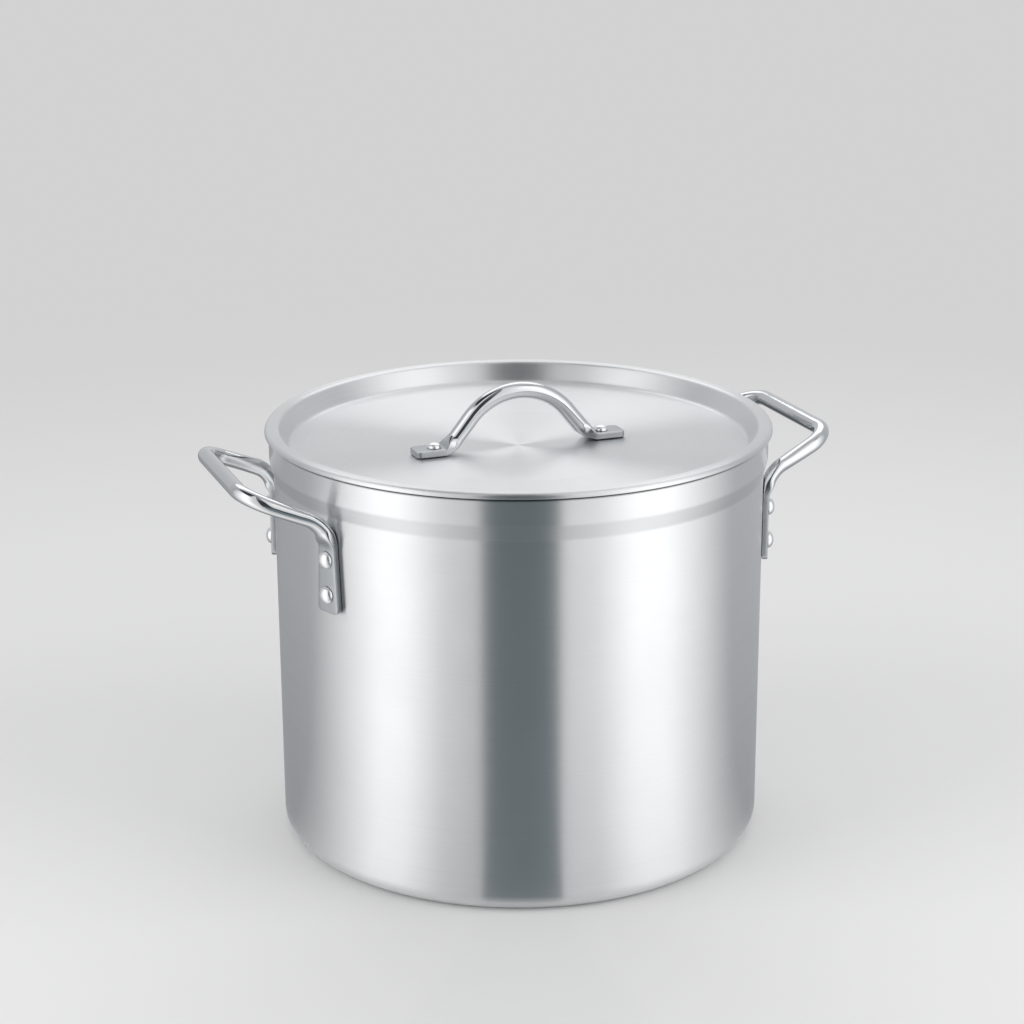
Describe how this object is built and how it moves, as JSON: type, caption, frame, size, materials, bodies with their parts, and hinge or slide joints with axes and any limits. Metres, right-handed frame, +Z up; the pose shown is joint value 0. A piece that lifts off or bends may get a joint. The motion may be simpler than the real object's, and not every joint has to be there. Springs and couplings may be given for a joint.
{
  "type": "aluminium brew kettle",
  "caption": "Large spun aluminium brew kettle with a thick rim, riveted bent-rod side handles and a recessed lift-off lid with an arched handle",
  "frame": {"origin": "centre of the flat underside that the kettle stands on", "axes": "Z up along the kettle's axis, X through the two side handles, Y from the front, which the viewer faces, to the rear"},
  "size_m": [0.5194, 0.42, 0.3826],
  "materials": {
    "spun_aluminium": "satin, finely brushed around the axis",
    "pressed_aluminium": "satin, lathe-turned in rings",
    "polished_rod": "bright plating on steel rod",
    "rivet_aluminium": "bright, as headed"
  },
  "bodies": {
    "kettle": {"kettle_body": "spun_aluminium", "side_handle_left": "polished_rod", "side_handle_right": "polished_rod", "rivet_left_front_lower": "rivet_aluminium", "rivet_left_front_upper": "rivet_aluminium", "rivet_left_rear_lower": "rivet_aluminium", "rivet_left_rear_upper": "rivet_aluminium", "rivet_right_front_lower": "rivet_aluminium", "rivet_right_front_upper": "rivet_aluminium", "rivet_right_rear_lower": "rivet_aluminium", "rivet_right_rear_upper": "rivet_aluminium"},
    "lid": {"lid": "pressed_aluminium", "lid_handle": "polished_rod", "lid_rivet_left": "rivet_aluminium", "lid_rivet_right": "rivet_aluminium"}
  },
  "joints": [
    {"name": "lid_lift", "type": "slide", "parent": "kettle", "child": "lid", "axis": [0, 0, 1], "range_m": [0, 0.12]}
  ]
}
